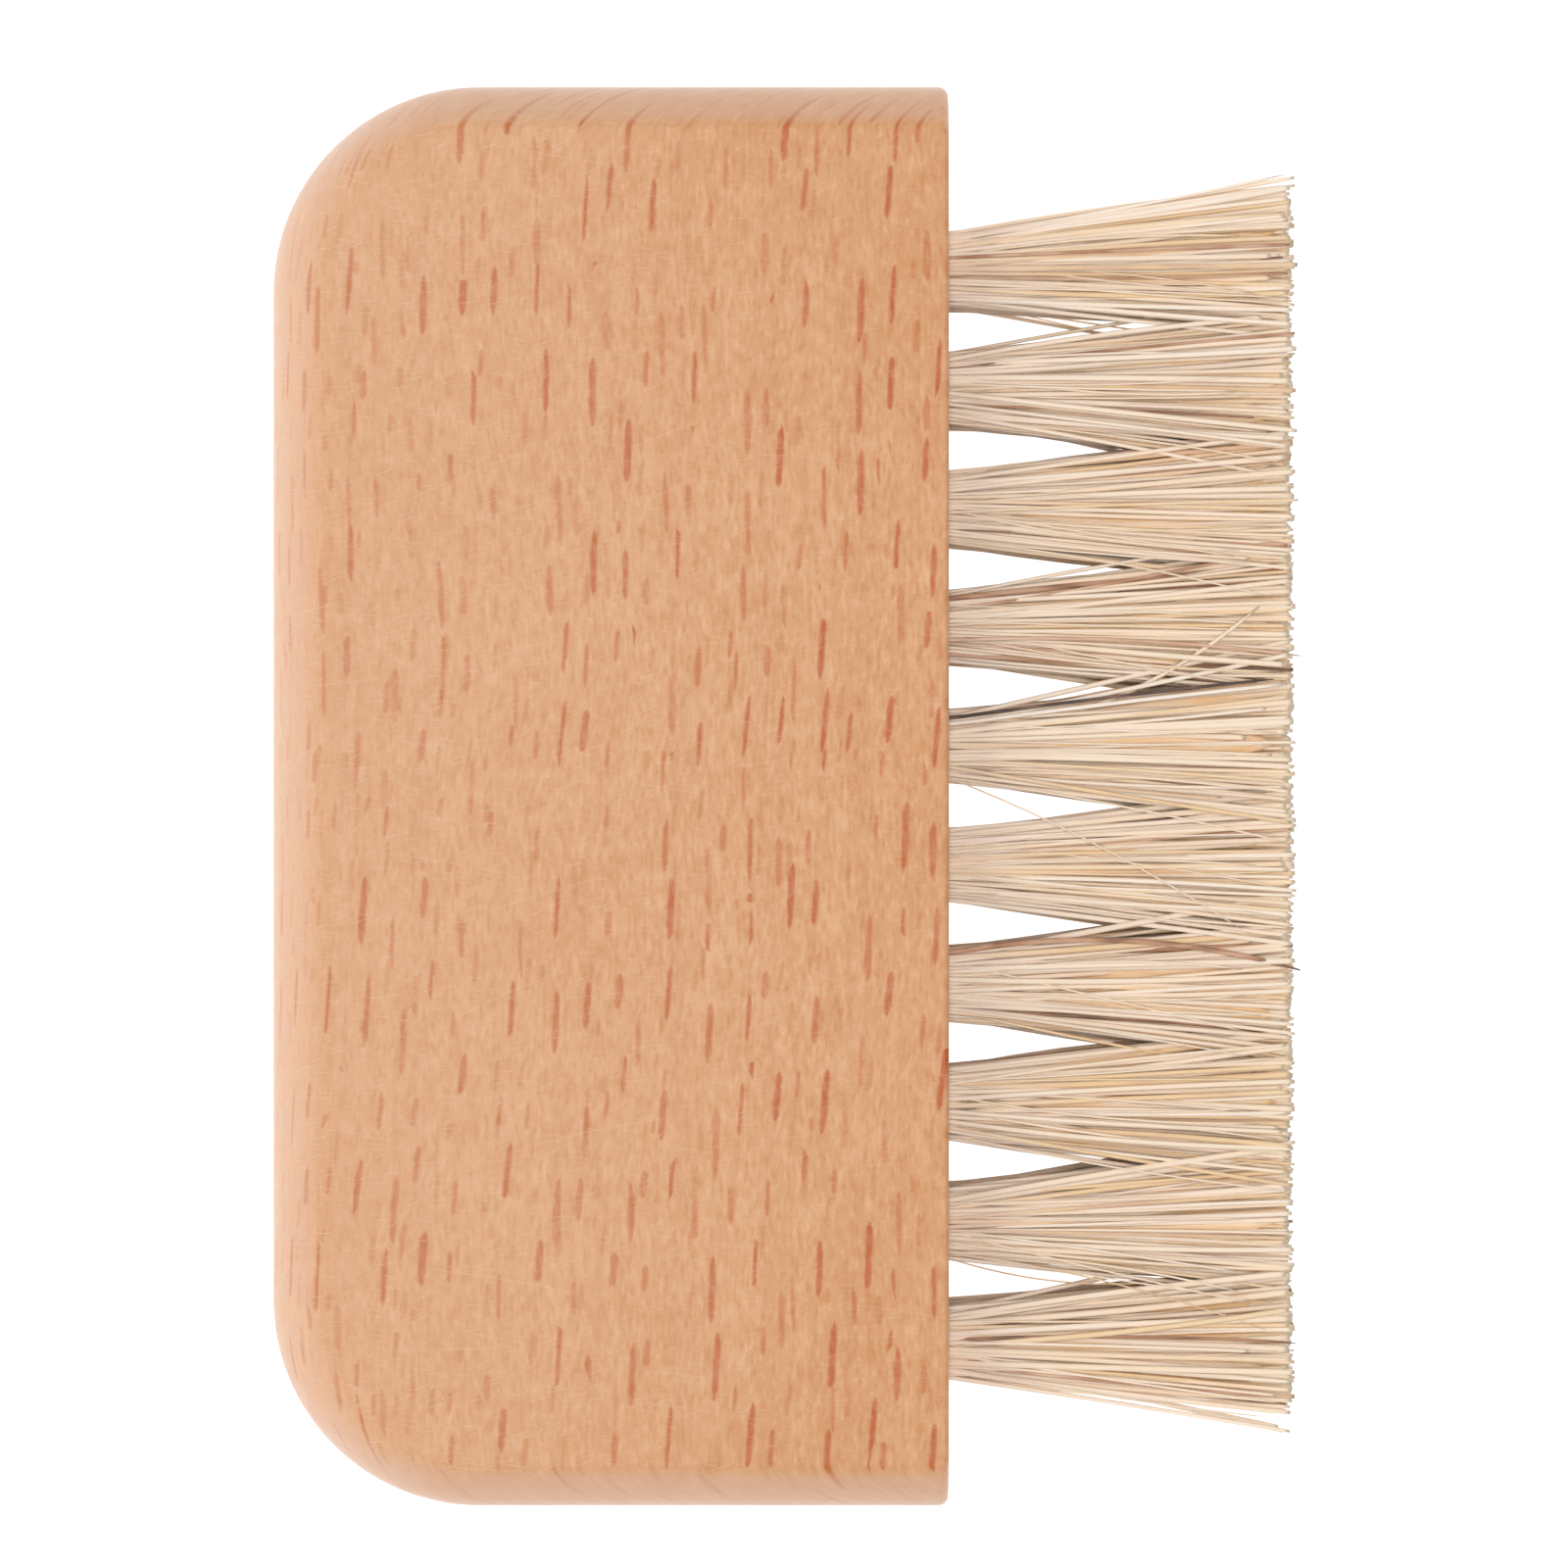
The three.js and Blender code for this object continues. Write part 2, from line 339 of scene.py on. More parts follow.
def drill(centres):
    """One mesh of drills, each with a drill-point tip and a bevelled mouth."""
    sides = 48
    beyond = 1 * MM
    blunt_tip = 0.02 * MM
    stations = [
        (-HOLE_DEPTH - DRILL_POINT_HEIGHT, blunt_tip),
        (-HOLE_DEPTH, HOLE_RADIUS),
        (-MOUTH_BEVEL, HOLE_RADIUS),
        (0.0, HOLE_RADIUS + MOUTH_BEVEL),
        (beyond, HOLE_RADIUS + MOUTH_BEVEL + beyond),
    ]
    points, faces = [], []
    for y, z in centres:
        rings = []
        for x, radius in stations:
            turns = [2 * math.pi * i / sides for i in range(sides)]
            ring = [(y + radius * math.cos(turn), z + radius * math.sin(turn)) for turn in turns]
            rings.append([(FACE_X + x, *place) for place in ring])
        start = len(points)
        points += [point for ring in rings for point in ring]
        faces += [tuple(start + corner for corner in face) for face in skin(rings)]
    return mesh_object("drills", points, faces)


SHARP_ANGLE = math.radians(40)


def make_block(centres):
    block = block_blank()
    drills = drill(centres)
    cut = block.modifiers.new("holes", "BOOLEAN")
    cut.object = drills
    cut.operation = "DIFFERENCE"
    cut.solver = "EXACT"
    apply_modifiers(block)
    bpy.data.objects.remove(drills)
    block.data.shade_smooth()
    block.data.set_sharp_from_angle(angle=SHARP_ANGLE)
    block.modifiers.new("normals", "WEIGHTED_NORMAL").keep_sharp = True
    apply_modifiers(block)
    block.data.materials.clear()
    block.data.materials.append(beech_material())
    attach(block, "root")
    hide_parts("block")


# Beech. The log's rays run out at an angle across the block, so the wood is
# worked out in a frame turned to them: X across the rays, Y along the grain,
# Z along the rays and across the growth rings. Its sizes are in millimetres.

RAY_TURN = math.radians(50)
RAY_LEAN = math.radians(1.6)  # of the rays' ends, away from the grain
RING_PERIOD = 4.2
SCRATCH_TURN = math.radians(83)  # of the scratches, from the block's length

SHORTEST_STROKE = 0.38  # as a share of the longest
NARROWEST_STROKE = 0.6  # as shares of the width asked for
WIDEST_STROKE = 1.1
STROKE_TAPER = 3.5  # how late a stroke narrows towards its ends


def strokes(shader, point, cell, reach, width, blur, shift=(0, 0, 0), tilt=0.0, spread=0.0, bend=0.0):
    """Short strokes along Y, one to a cell: 0 between them, 1 inside.

    Each cell's own random numbers set how far its stroke goes each way from its middle (up to
    reach), its width each way, its lean (tilt, give or take spread) and its curve (up to bend
    either way). They are returned too.
    """
    cells = shader.stretched(point, cell, shift)
    voronoi = shader.tree.nodes.new("ShaderNodeTexVoronoi")
    voronoi.feature = "F1"
    shader.feed(voronoi.inputs["Vector"], cells)
    voronoi.inputs["Scale"].default_value = 1.0
    voronoi.inputs["Randomness"].default_value = 0.9
    odds = shader.tree.nodes.new("ShaderNodeSeparateColor")
    shader.feed(odds.inputs[0], voronoi.outputs["Color"])
    first, second, third = odds.outputs
    offset = shader.vector_math("SUBTRACT", cells, voronoi.outputs["Position"])
    across, along, _ = shader.parts(shader.vector_math("MULTIPLY", offset, cell))
    lean = shader.ramp(second, 0.0, 1.0, math.tan(tilt - spread), math.tan(tilt + spread))
    across = shader.math("SUBTRACT", across, shader.math("MULTIPLY", along, lean))
    squared = shader.math("MULTIPLY", along, along)
    curve = shader.math("MULTIPLY", squared, shader.ramp(third, 0.0, 1.0, -bend, bend))
    across = shader.math("ABSOLUTE", shader.math("SUBTRACT", across, curve))
    half = shader.ramp(first, 0.0, 1.0, reach * SHORTEST_STROKE, reach)
    share = shader.math("DIVIDE", squared, shader.math("MULTIPLY", half, half))
    taper = shader.math("SUBTRACT", 1.0, shader.math("POWER", share, STROKE_TAPER))
    edge = shader.ramp(third, 0.0, 1.0, width * WIDEST_STROKE, width * NARROWEST_STROKE)
    edge = shader.math("MULTIPLY", taper, edge)
    inside = shader.ramp(shader.math("SUBTRACT", edge, across), -blur, blur)
    return inside, first, second, third


def ray_flecks(shader, grain):
    """The rays' ends: bold ones, and smaller and fainter ones between them."""
    torn = shader.vector_math("ADD", grain, shader.wander(grain, (0.3, 0.45, 4), (0.07, 0.4, 0)))
    bold, size, dark, _ = strokes(
        shader, torn, cell=(1.6, 5.6, 60), reach=2.2, width=0.132, blur=0.08,
        tilt=RAY_LEAN, spread=0.025)
    bold = shader.math("MULTIPLY", bold, shader.ramp(size, 0.0, 0.7, 0.6, 1.0))
    bold = shader.math("MULTIPLY", bold, shader.ramp(dark, 0.0, 0.8, 0.45, 1.0))
    faint, _, dark, _ = strokes(
        shader, torn, cell=(1.2, 3.4, 40), reach=1.2, width=0.12, blur=0.1,
        shift=(31, 17, 5), tilt=RAY_LEAN, spread=0.03)
    faint = shader.math("MULTIPLY", faint, shader.ramp(dark, 0.2, 1.0, 0.1, 1.0))
    return bold, faint


def scratches(shader, x, y, z):
    """Fibres raised by sanding, and fine scratches, laid on a map that runs round the block, and painted
    stronger towards the spine as a painted highlight.
    """
    around = shader.math("ADD", x, z)
    upward = shader.math("ADD", y, shader.math("MULTIPLY", z, 0.5))
    surface = shader.node("ShaderNodeCombineXYZ", {0: around, 1: upward})
    lying = shader.turned(surface, (0, 0, SCRATCH_TURN))
    fuzz, size, _, _ = strokes(
        shader, lying, cell=(0.4, 1.25, 5), reach=0.65, width=0.03, blur=0.045,
        spread=0.35, bend=0.12)
    fuzz = shader.math("MULTIPLY", fuzz, shader.ramp(size, 0.2, 1.0, 0.1, 1.0))
    long, _, _, rare = strokes(
        shader, lying, cell=(4.6, 13, 5), reach=5.5, width=0.035, blur=0.05,
        shift=(7, 3, 0), spread=0.3, bend=0.008)
    long = shader.math("MULTIPLY", long, shader.ramp(rare, 0.3, 0.7))
    # Painted highlight: the real scratches are painted stronger towards the spine, where they catch the
    # light from that side.
    scratch_highlight = shader.ramp(x, SPINE_X / MM, FACE_X / MM, 1.0, 0.4)
    return shader.math("MULTIPLY", shader.math("MAXIMUM", fuzz, long), scratch_highlight)


def beech_material():
    shader = Shader("oiled_beech")
    point = shader.object_mm()
    x, y, z = shader.parts(point)
    grain = shader.vector_math("ADD", point, shader.wander(point, (45, 38, 45), (1.8, 0, 1.8)))
    grain = shader.turned(grain, (0, RAY_TURN, 0))
    bold, faint = ray_flecks(shader, grain)
    scratch = scratches(shader, x, y, z)
    fine = shader.noise(shader.stretched(grain, (0.17, 0.9, 6)), detail=2)
    fibre = shader.noise(shader.stretched(grain, (0.4, 6, 2)), detail=3, roughness=0.6)
    mottle = shader.noise(shader.stretched(point, (1.1, 2.2, 1.1), (3, 8, 5)), detail=3, roughness=0.6)
    cloud = shader.noise(shader.stretched(point, (14, 26, 14)), detail=2)

    # Growth rings are seen as soft bands across the rays on the ends.
    _, _, outward = shader.parts(grain)
    late = shader.ramp(shader.math("FRACT", shader.math("DIVIDE", outward, RING_PERIOD)), 0.55, 0.98)

    # Painted sheen: the wood is painted paler towards the spine, as a haze of light from that side, and
    # its bold flecks weaker there.
    painted_sheen_haze = shader.ramp(x, SPINE_X / MM, FACE_X / MM, 0.34, 0.0)
    # Painted sheen: the bold flecks are painted weaker towards the spine, under that haze of light.
    clear = shader.ramp(x, SPINE_X / MM, FACE_X / MM, 0.66, 0.95)

    # The ends show cut fibres, duller than the rest, and the rounded spine is painted pale, a painted
    # sheen where it turns towards the light.
    facing_x, facing_y, _ = shader.parts(shader.node("ShaderNodeNewGeometry", output="Normal"))
    end_grain = shader.ramp(shader.math("ABSOLUTE", facing_y), 0.3, 0.7)
    # Painted sheen: the spine is painted paler where its surface turns away from the face.
    painted_spine_sheen = shader.ramp(facing_x, -0.15, -0.75, 0.0, 0.42)
    painted_spine_sheen = shader.math("MULTIPLY", painted_spine_sheen, shader.ramp(mottle, 0.3, 0.6, 0.7, 1.0))

    colour = shader.mix(shader.ramp(cloud, 0.3, 0.7), linear((217, 162, 116)), linear((213, 155, 106)))
    layers = (
        (shader.ramp(fibre, 0.35, 0.72, 0, 0.38), (203, 141, 95)),
        (shader.ramp(mottle, 0.48, 0.72, 0, 0.42), (203, 140, 87)),
        (shader.ramp(mottle, 0.5, 0.3, 0, 0.3), (229, 180, 138)),
        (shader.ramp(fine, 0.52, 0.74, 0, 0.5), (197, 130, 78)),
        (shader.ramp(fine, 0.46, 0.28, 0, 0.3), (232, 186, 144)),
        (shader.math("MULTIPLY", late, 0.1), (196, 130, 92)),
        # painted sheen: a haze of light painted on towards the spine
        (painted_sheen_haze, (228, 184, 152)),
        (shader.math("MULTIPLY", faint, 0.4), (190, 112, 44)),
        # bold flecks, painted weaker towards the spine under the painted sheen
        (shader.math("MULTIPLY", bold, clear), (184, 84, 8)),
        (shader.math("MULTIPLY", scratch, 0.42), (248, 214, 182)),
        (shader.math("MULTIPLY", end_grain, 0.55), (214, 176, 150)),
        # painted sheen on the rounded spine
        (painted_spine_sheen, (226, 193, 172)),
    )
    for amount, shade in layers:
        colour = shader.mix(amount, colour, linear(shade))

    height = shader.math("MULTIPLY", fine, 0.5)
    for relief, share in ((fibre, 0.3), (mottle, 0.3), (bold, -0.4), (scratch, 0.7)):
        height = shader.math("ADD", height, shader.math("MULTIPLY", relief, share))
    roughness = shader.ramp(fine, 0.3, 0.7, 0.5, 0.64)
    roughness = shader.math("SUBTRACT", roughness, shader.math("MULTIPLY", bold, 0.1))
    return shader.finish(
        Base_Color=colour,
        Roughness=roughness,
        Normal=shader.bump(height, 0.03 * MM, 0.7),
        Specular_IOR_Level=0.35,
        Sheen_Weight=0.25,
        Sheen_Roughness=0.5,
    )


# Bristles

# Shades of bristle, from the few dark hairs to the palest.
BRISTLE_SHADES = [
    (0.00, (84, 70, 62)),
    (0.03, (112, 92, 80)),
    (0.08, (178, 132, 102)),
    (0.15, (214, 176, 148)),
    (0.28, (236, 204, 160)),
    (0.50, (243, 220, 193)),
    (0.78, (246, 228, 209)),
    (1.00, (250, 240, 229)),
]

SIDES = 6  # of a bristle's outline
FLATNESS = 0.65  # bristles are a little flat, and lie flat in the tuft

# How far along its free length each point of a bristle's path lies.
FREE_STATIONS = np.array([0, 0.07, 0.2, 0.36, 0.52, 0.68, 0.83, 0.94, 0.98, 1.0])


def bristle_material():
    shader = Shader("hog_bristle")
    shade = shader.attribute("shade")
    along = shader.attribute("along")
    point = shader.object_mm()
    streak = shader.noise(shader.stretched(point, (5, 0.6, 0.6)), detail=2)
    shade = shader.math("ADD", shade, shader.ramp(streak, 0.3, 0.7, -0.04, 0.04), clamp=True)
    colour = shader.colour_ramp(shade, BRISTLE_SHADES)
    pale = shader.ramp(shade, 0.08, 0.2)
    # Painted light: near the hole the bristles are painted paler and greyer, a painted fill for the
    # shade among the crowded roots; dark bristles keep their colour.
    root = shader.math("MULTIPLY", shader.ramp(along, 0.0, 0.45, 0.5, 0.0), pale)
    colour = shader.mix(root, colour, linear((243, 225, 207)))
    tip = shader.math("MULTIPLY", shader.ramp(along, 0.8, 1.0, 0.0, 0.25), pale)
    colour = shader.mix(tip, colour, linear((240, 222, 192)))
    scales = shader.noise(shader.stretched(point, (0.25, 0.08, 0.08)), detail=1)
    return shader.finish(
        Base_Color=colour,
        Roughness=shader.ramp(scales, 0.3, 0.7, 0.42, 0.56),
        Normal=shader.bump(scales, 0.01 * MM, 0.4),
        Specular_IOR_Level=0.3,
    )


def packed_material():
    """Bristles seen too deep in a tuft to tell apart: hairs drawn as fine streaks along a lock, in
    colours of painted shade and light.
    """
    shader = Shader("packed_hog_bristle_painted_shade")
    shade = shader.attribute("shade")
    point = shader.object_mm()
    hairs = shader.noise(shader.stretched(point, (5, 0.22, 0.22)), detail=2, roughness=0.6)
    shade = shader.math("ADD", shade, shader.ramp(hairs, 0.3, 0.7, -0.15, 0.35), clamp=True)
    return shader.finish(
        # Painted shade and light: the deep honey stands in for the warm shade deep inside a tuft, and
        # the near-white end is painted pale to lift that shade.
        Base_Color=shader.mix(shade, linear((242, 197, 138)), linear((253, 239, 219))),
        Roughness=shader.ramp(hairs, 0.3, 0.7, 0.6, 0.5),
        Normal=shader.bump(hairs, 0.06 * MM, 0.8),
        Specular_IOR_Level=0.3,
    )


def packed_roots():
    """Where strands cross one half of a hole's mouth: a close-packed grid of (y, z) with y above 0."""
    row_height = BRISTLE_SPACING * math.sqrt(3) / 2
    rows = int(PACK_RADIUS / row_height) + 1
    columns = int(PACK_RADIUS / BRISTLE_SPACING) + 2
    middle_gap = 0.55  # from the middle to the first row, as a share of row_height
    roots = []
    for row in range(rows):
        y = (row + middle_gap) * row_height
        for column in range(-columns, columns + 1):
            z = (column + 0.5 * (row % 2)) * BRISTLE_SPACING
            if math.hypot(y, z) <= PACK_RADIUS:
                roots.append((y, z))
    return np.array(roots)


def lock_roots(rng):
    """(y, z) of the middles of the locks, which are bunches of bristles that hold together."""
    reach = PACK_RADIUS - LOCK_RADIUS * 1.1
    row_height = LOCK_SPACING * math.sqrt(3) / 2
    rows = int(reach / row_height) + 1
    columns = int(reach / LOCK_SPACING) + 2
    roots = []
    for row in range(-rows, rows + 1):
        for column in range(-columns, columns + 1):
            y = row * row_height
            z = (column + 0.5 * (row % 2)) * LOCK_SPACING
            if math.hypot(y, z) <= reach:
                roots.append((y, z))
    roots = np.array(roots)
    return roots + rng.normal(0, LOCK_SCATTER, roots.shape)


def spread_tips(roots, fan):
    """Where bristles from these roots end: farther apart, and filled out to meet the next tufts."""
    share = (roots / PACK_RADIUS) ** 2
    return roots * (1 + fan) * (1 + SQUARING * share[:, ::-1])


def free_legs(rng, roots, fan, lean, locks, outer):
    """Paths of bristles from the hole's mouth to their tips: x, y, z from the mouth's middle.

    Towards its tip a bristle leans in to the nearest lock, so the tuft opens in wedges.
    """
    count = len(roots)
    nearest = np.argmin(np.linalg.norm(roots[:, None] - locks[None], axis=2), axis=1)
    inward = (locks[nearest] - roots) * (1 + fan) * LOCK_PULL
    tips = spread_tips(roots, fan) + inward + lean + rng.normal(0, TIP_SCATTER, (count, 2))
    wild = (rng.random(count) < WILD_SHARE) & (roots[:, 1] * outer > 0)
    tips[wild] += rng.normal(0, WILD_SCATTER, (wild.sum(), 2))
    bows = rng.normal(0, BOW_SCATTER, (count, 2))
    trims = np.clip(rng.normal(0, TRIM_SCATTER, count), SHORTEST_TRIM, LONGEST_TRIM)
    lengths = FREE_LENGTH + trims
    broken = rng.random(count) < BROKEN_SHARE
    lengths[broken] -= rng.uniform(*BROKEN_LOSS, broken.sum()) * MM
    s = FREE_STATIONS[None, :, None]
    side = roots[:, None] + (tips - roots)[:, None] * s + bows[:, None] * (4 * s * (1 - s))
    x = lengths[:, None, None] * s
    return np.concatenate([x, side], axis=2)


GATHERING = 2 * MM  # how far above the anchor a strand starts to close in on it
SQUEEZE = 0.8  # how far apart strands stay beside the anchor, as a share of their spacing
FOLD_DEPTH = 0.55  # below the anchor, as a share of the fold's half width

# The points of a fold, sideways and down, as shares of its half width and its depth.
FOLD_POINTS = ((0.72, 0.75), (0.0, 1.0), (-0.72, 0.75))


def folded_strands(rng, fan, lean, locks, outer, wire):
    """Paths of whole strands: tip, hole, round under the anchor, hole and the other tip."""
    wire_low, wire_high = wire
    anchor_bottom, anchor_top = wire_low.x - FACE_X, wire_high.x - FACE_X
    anchor_half = (wire_high.y - wire_low.y) / 2
    roots = packed_roots()
    first = roots + rng.normal(0, STRAND_SCATTER, roots.shape)
    second = first * (-1, 1) + rng.normal(0, STRAND_SCATTER, first.shape)
    legs = [free_legs(rng, roots, fan, lean, locks, outer) for roots in (first, second)]
    squeezed = anchor_half + BRISTLE_RADIUS + first[:, 0] * SQUEEZE
    hidden = []
    for sign, roots in ((1, first), (-1, second)):
        turns = (
            (anchor_top + GATHERING, roots[:, 0]),
            (anchor_top, sign * squeezed),
            (anchor_bottom, sign * squeezed),
        )
        for x, y in turns:
            hidden.append(np.stack([np.full(len(first), x), y, first[:, 1]], axis=1))
    drop = anchor_bottom - squeezed * FOLD_DEPTH
    folds = []
    for side, fall in FOLD_POINTS:
        x = anchor_bottom + (drop - anchor_bottom) * fall
        folds.append(np.stack([x, squeezed * side, first[:, 1]], axis=1))
    middle = hidden[:3] + folds + hidden[:2:-1]
    return np.concatenate([legs[0][:, ::-1], np.stack(middle, axis=1), legs[1]], axis=1)


def tube_points(paths, radii, twists):
    """Rings of points round each path: strands by stations by sides by 3."""
    tangents = np.gradient(paths, axis=1)
    tangents /= np.linalg.norm(tangents, axis=2, keepdims=True)
    up = np.array([0.0, 0.0, 1.0])
    first = up - tangents * (tangents @ up)[..., None]
    first /= np.linalg.norm(first, axis=2, keepdims=True)
    second = np.cross(tangents, first)
    turns = twists[:, None] + np.arange(SIDES) / SIDES * 2 * math.pi
    cos, sin = np.cos(turns)[:, None, :, None], np.sin(turns)[:, None, :, None]
    around = first[:, :, None] * cos * FLATNESS + second[:, :, None] * sin
    return paths[:, :, None] + around * radii[:, :, None, None]


def tube_faces(strands, stations):
    """Quads along each tube and a cap at both of its ends."""
    faces = []
    size = stations * SIDES
    for strand in range(strands):
        start = strand * size
        for station in range(stations - 1):
            low = start + station * SIDES
            for side in range(SIDES):
                following = (side + 1) % SIDES
                faces.append((low + side, low + following, low + SIDES + following, low + SIDES + side))
        faces.append(tuple(start + side for side in reversed(range(SIDES))))
        faces.append(tuple(start + size - SIDES + side for side in range(SIDES)))
    return faces


UV_COLUMNS = 66
STRIP_WIDTH = 0.8  # of a tube's strip on the map, as shares of the room that it has
STRIP_HEIGHT = 0.96


def tube_uvs(strands, stations):
    """A map with one upright strip for each tube, so that a baked picture keeps every bristle apart."""
    rows = math.ceil(strands / UV_COLUMNS)
    uvs = []
    for strand in range(strands):
        left = (strand % UV_COLUMNS) / UV_COLUMNS
        low = (strand // UV_COLUMNS) / rows
        width, height = STRIP_WIDTH / UV_COLUMNS, STRIP_HEIGHT / rows
        for station in range(stations - 1):
            v0 = low + height * station / (stations - 1)
            v1 = low + height * (station + 1) / (stations - 1)
            for side in range(SIDES):
                u0 = left + width * side / SIDES
                u1 = left + width * (side + 1) / SIDES
                uvs += [(u0, v0), (u1, v0), (u1, v1), (u0, v1)]
        uvs += [(left + width / 2, low)] * SIDES
        uvs += [(left + width / 2, low + height)] * SIDES
    return uvs


def softened_normals(points, paths):
    """Each tube's normals, turned towards the tuft's broad sides and, at its ends, to its tip.

    Light that soaks through real bristles evens out their bright and dark sides in the same way.
    """
    normals = points - paths[:, :, None]
    normals /= np.linalg.norm(normals, axis=3, keepdims=True)
    normals *= (1, SIDEWAYS_SHARE, 1)
    normals[:, [0, -1]] += (2, 0, 0)
    return normals / np.linalg.norm(normals, axis=3, keepdims=True)


def tubes_object(name, paths, radii, shades, along, rng):
    strands, stations = paths.shape[:2]
    points = tube_points(paths, radii, rng.uniform(0, 2 * math.pi, strands))
    piece = mesh_object(name, points.reshape(-1, 3).tolist(), tube_faces(strands, stations))
    mesh = piece.data
    for key, values in (("shade", shades), ("along", along)):
        layer = mesh.attributes.new(key, "FLOAT", "POINT")
        layer.data.foreach_set("value", np.repeat(values.reshape(-1), SIDES).astype(np.float32))
    layer = mesh.uv_layers.new(name="OFBake")
    uvs = np.array(tube_uvs(strands, stations), np.float32)
    layer.data.foreach_set("uv", uvs.reshape(-1))
    mesh.shade_smooth()
    normals = softened_normals(points, paths)
    mesh.normals_split_custom_set_from_vertices(normals.reshape(-1, 3).tolist())
    return piece


def bristle_shades(rng, count):
    """Mostly cream, with some honey and a few brown bristles."""
    shades = 0.36 + 0.5 * rng.beta(2.2, 2.2, count)
    odds = rng.random(count)
    shades = np.where(odds < HONEY_SHARE, rng.uniform(0.2, 0.36, count), shades)
    return np.where(odds < BROWN_SHARE, rng.uniform(0.06, 0.14, count), shades)


def make_tuft(name, anchor, index, material, lock_material):
    rng = np.random.default_rng(SEED + index)
    low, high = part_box(name)
    centre = Vector((FACE_X, (low.y + high.y) / 2, (low.z + high.z) / 2))
    outer = 1 if "upper" in name else -1
    fan = FAN * rng.uniform(*FAN_RANGE) * (1 if outer > 0 else LOWER_FAN)
    lean = np.random.default_rng(SEED + int(name[-2:])).normal(0, LEAN_SCATTER, 2)
    if name.endswith(f"_{PER_ROW:02d}"):
        lean += (END_TUFT_LEAN, 0)
    locks = lock_roots(rng)
    paths = folded_strands(rng, fan, lean, locks, outer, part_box(anchor))
    paths += np.array(centre)
    strands, stations = paths.shape[:2]
    radii = np.full((strands, stations), BRISTLE_RADIUS) * rng.uniform(*BRISTLE_SIZES, (strands, 1))

    # A bristle thins from its root end to its flag end, and both ends are a little rounded.
    taper = np.linspace(1.12, 0.85, stations)
    taper[[0, 1]] *= (0.7, 0.92)
    taper[[-2, -1]] *= (0.92, 0.7)
    radii = radii * taper
    paths[:, :, 2] = np.maximum(paths[:, :, 2], BASE_Z + FLOOR_CLEARANCE)
    shades = np.repeat(bristle_shades(rng, strands)[:, None], stations, axis=1)
    free = len(FREE_STATIONS)
    along = np.zeros(stations)
    along[:free] = FREE_STATIONS[::-1]
    along[-free:] = FREE_STATIONS
    along = np.tile(along, (strands, 1))
    tuft = tubes_object(f"bristles_{name[5:]}", paths, radii, shades, along, rng)
    tuft.data.materials.append(material)
    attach(tuft, "root")
    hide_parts(name)
    make_locks(rng, name[5:], centre, locks, fan, lean, lock_material)


# As FREE_STATIONS, and starting a little way inside the hole.
LOCK_STATIONS = np.array([-0.07, 0, 0.12, 0.28, 0.45, 0.62, 0.78, 0.9, 0.96, 1.0])


def make_locks(rng, label, centre, roots, fan, lean, material):
    """The bristles inside a tuft, as locks of many hairs each, which fill it between the single ones."""
    count = len(roots)
    tips = spread_tips(roots, fan) + lean + rng.normal(0, LOCK_BEND, (count, 2))
    bows = rng.normal(0, LOCK_BEND, (count, 2))
    lengths = FREE_LENGTH - rng.uniform(*LOCK_SHORTFALL, count) * MM
    s = LOCK_STATIONS[None, :, None]
    free = np.maximum(s, 0)
    side = roots[:, None] + (tips - roots)[:, None] * free + bows[:, None] * (4 * free * (1 - free))
    paths = np.concatenate([lengths[:, None, None] * s, side], axis=2) + np.array(centre)

    # A lock widens with its tuft, and its end tapers off among the single bristles.
    swell = np.interp(LOCK_STATIONS, (0, 0.9, 1), (1, 1 + 0.95 * fan, 1 + fan))
    swell[[-3, -2, -1]] *= (0.85, 0.5, 0.1)
    radii = LOCK_RADIUS * swell * rng.uniform(*LOCK_SIZES, (count, 1))
    # Each lock's place between the painted honey shade and the painted pale end of its material.
    shades = np.repeat(rng.uniform(0.1, 0.7, (count, 1)), len(LOCK_STATIONS), axis=1)
    along = np.tile(np.maximum(LOCK_STATIONS, 0), (count, 1))
    piece = tubes_object(f"locks_{label}", paths, radii, shades, along, rng)
    piece.data.materials.append(material)
    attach(piece, "root")


